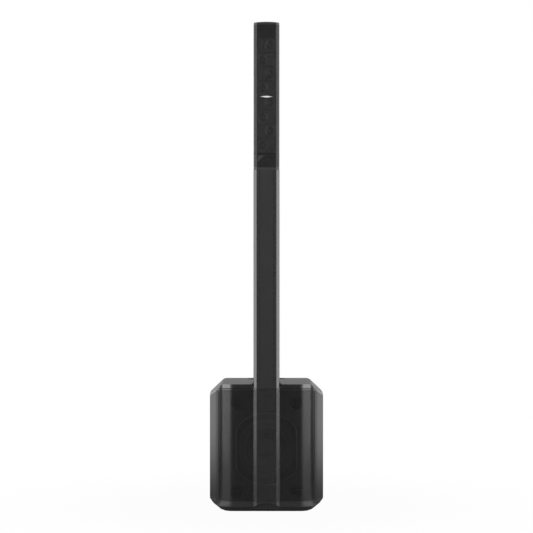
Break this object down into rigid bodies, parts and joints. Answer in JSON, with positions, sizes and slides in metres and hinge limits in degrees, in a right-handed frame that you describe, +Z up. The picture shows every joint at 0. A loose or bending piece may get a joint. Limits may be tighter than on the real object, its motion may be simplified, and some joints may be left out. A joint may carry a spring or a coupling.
{
  "type": "column pa system",
  "caption": "Column loudspeaker: grille-fronted bass cabinet with a mixer panel in its back, carrying a slim plug-in column with a line of small drivers",
  "frame": {"origin": "on the floor under the middle of the object's box", "axes": "+Z up, the grilles face -Y, +X is the viewer's right"},
  "size_m": [0.467, 0.43, 1.964],
  "materials": {
    "cabinet_plastic": "satin",
    "grille_paint": "satin",
    "column_paint": "satin",
    "black_plastic": "matte",
    "strip_plastic": "matte",
    "baffle_wood": "matte",
    "foot_rubber": "matte",
    "surround_rubber": "matte",
    "cone_paper": "matte",
    "basket_steel": "satin",
    "magnet_ferrite": "matte",
    "plated_steel": "satin",
    "black_steel": "satin",
    "sink_aluminium": "satin",
    "circuit_board": "satin",
    "cable_jacket": "matte",
    "contact_metal": "polished",
    "display_glass": "polished",
    "badge_metal": "satin",
    "knob_plastic": "matte"
  },
  "bodies": {
    "cabinet": {"cabinet_shell": "cabinet_plastic", "top_cap": "cabinet_plastic", "bottom_cap": "cabinet_plastic", "front_grille": "grille_paint", "baffle_board": "baffle_wood", "port_tubes": "black_plastic", "rubber_feet": "foot_rubber", "carry_handle": "black_plastic", "woofer_basket": "basket_steel", "woofer_screws": "black_steel", "woofer_surround": "surround_rubber", "woofer_spider": "cone_paper", "woofer_top_plate": "plated_steel", "woofer_magnet": "magnet_ferrite", "woofer_yoke": "plated_steel", "column_socket": "black_plastic", "socket_contacts": "contact_metal", "amp_panel": "column_paint", "panel_screws": "black_steel", "heat_sink": "sink_aluminium", "amp_board": "circuit_board", "mixer_board": "circuit_board", "power_supply": "circuit_board", "speaker_leads": "cable_jacket", "mains_inlet": "black_plastic", "rocker_frame": "black_plastic", "display_window": "display_glass", "combo_jacks": "black_plastic", "line_jacks": "black_plastic", "pot_bodies": "plated_steel"},
    "spacer": {"spacer_extrusion": "column_paint", "spacer_front_panel": "strip_plastic", "spacer_plug": "black_plastic", "spacer_socket": "black_plastic", "spacer_cable": "cable_jacket"},
    "array": {"array_plug": "black_plastic", "array_top_cap": "black_plastic", "array_grille": "grille_paint", "array_housing": "column_paint", "array_baffle": "black_plastic", "array_driver_frames": "basket_steel", "array_driver_magnets": "plated_steel", "array_driver_surrounds": "surround_rubber", "array_bracket": "plated_steel", "badge_strip": "badge_metal"},
    "woofer_moving_parts": {"woofer_cone": "cone_paper", "woofer_dust_cap": "cone_paper"},
    "right_cones": {"array_cones_right": "cone_paper"},
    "left_cones": {"array_cones_left": "cone_paper"},
    "channel_knob_1": {"channel_knob_1": "knob_plastic"},
    "channel_knob_2": {"channel_knob_2": "knob_plastic"},
    "channel_knob_3": {"channel_knob_3": "knob_plastic"},
    "encoder_shaft": {"encoder_shaft": "plated_steel"},
    "encoder_knob": {"encoder_knob": "knob_plastic"},
    "menu_button_1": {"menu_button_1": "knob_plastic"},
    "menu_button_2": {"menu_button_2": "knob_plastic"},
    "power_rocker": {"power_rocker": "knob_plastic"},
    "combo_latch_1": {"combo_latch_1": "knob_plastic"},
    "combo_latch_2": {"combo_latch_2": "knob_plastic"}
  },
  "joints": [
    {"name": "spacer_lift", "type": "slide", "parent": "cabinet", "child": "spacer", "axis": [0, 0, 1], "range_m": [0, 0.1]},
    {"name": "array_lift", "type": "slide", "parent": "spacer", "child": "array", "axis": [0, 0, 1], "range_m": [0, 0.075]},
    {"name": "woofer_travel", "type": "slide", "parent": "cabinet", "child": "woofer_moving_parts", "axis": [0, -1, 0], "range_m": [-0.005, 0.005], "stiffness_N_per_m": 2000},
    {"name": "right_cone_travel", "type": "slide", "parent": "array", "child": "right_cones", "axis": [0.2924, -0.9563, 0], "range_m": [-0.001, 0.001], "stiffness_N_per_m": 1200},
    {"name": "left_cone_travel", "type": "slide", "parent": "array", "child": "left_cones", "axis": [-0.2924, -0.9563, 0], "range_m": [-0.001, 0.001], "stiffness_N_per_m": 1200},
    {"name": "channel_knob_1_turn", "type": "hinge", "parent": "cabinet", "child": "channel_knob_1", "pos_m": [-0.07, 0.192, 0.368], "axis": [0, 1, 0], "range_deg": [-150, 150]},
    {"name": "channel_knob_2_turn", "type": "hinge", "parent": "cabinet", "child": "channel_knob_2", "pos_m": [0, 0.192, 0.368], "axis": [0, 1, 0], "range_deg": [-150, 150]},
    {"name": "channel_knob_3_turn", "type": "hinge", "parent": "cabinet", "child": "channel_knob_3", "pos_m": [0.07, 0.192, 0.368], "axis": [0, 1, 0], "range_deg": [-150, 150]},
    {"name": "encoder_push", "type": "slide", "parent": "cabinet", "child": "encoder_shaft", "axis": [0, -1, 0], "range_m": [0, 0.0008], "stiffness_N_per_m": 700},
    {"name": "encoder_turn", "type": "hinge", "parent": "encoder_shaft", "child": "encoder_knob", "pos_m": [0.062, 0.197, 0.415], "axis": [0, 1, 0], "continuous": true},
    {"name": "menu_button_1_press", "type": "slide", "parent": "cabinet", "child": "menu_button_1", "axis": [0, -1, 0], "range_m": [0, 0.0012], "stiffness_N_per_m": 500},
    {"name": "menu_button_2_press", "type": "slide", "parent": "cabinet", "child": "menu_button_2", "axis": [0, -1, 0], "range_m": [0, 0.0012], "stiffness_N_per_m": 500},
    {"name": "power_rocker_tilt", "type": "hinge", "parent": "cabinet", "child": "power_rocker", "pos_m": [0.06, 0.188, 0.143], "axis": [0, 0, 1], "range_deg": [0, 16]},
    {"name": "combo_latch_1_press", "type": "slide", "parent": "cabinet", "child": "combo_latch_1", "axis": [0, -1, 0], "range_m": [0, 0.001], "stiffness_N_per_m": 400},
    {"name": "combo_latch_2_press", "type": "slide", "parent": "cabinet", "child": "combo_latch_2", "axis": [0, -1, 0], "range_m": [0, 0.001], "stiffness_N_per_m": 400}
  ],
  "couplings": [
    {"joint": "left_cone_travel", "follows": "right_cone_travel", "ratio": 1}
  ]
}
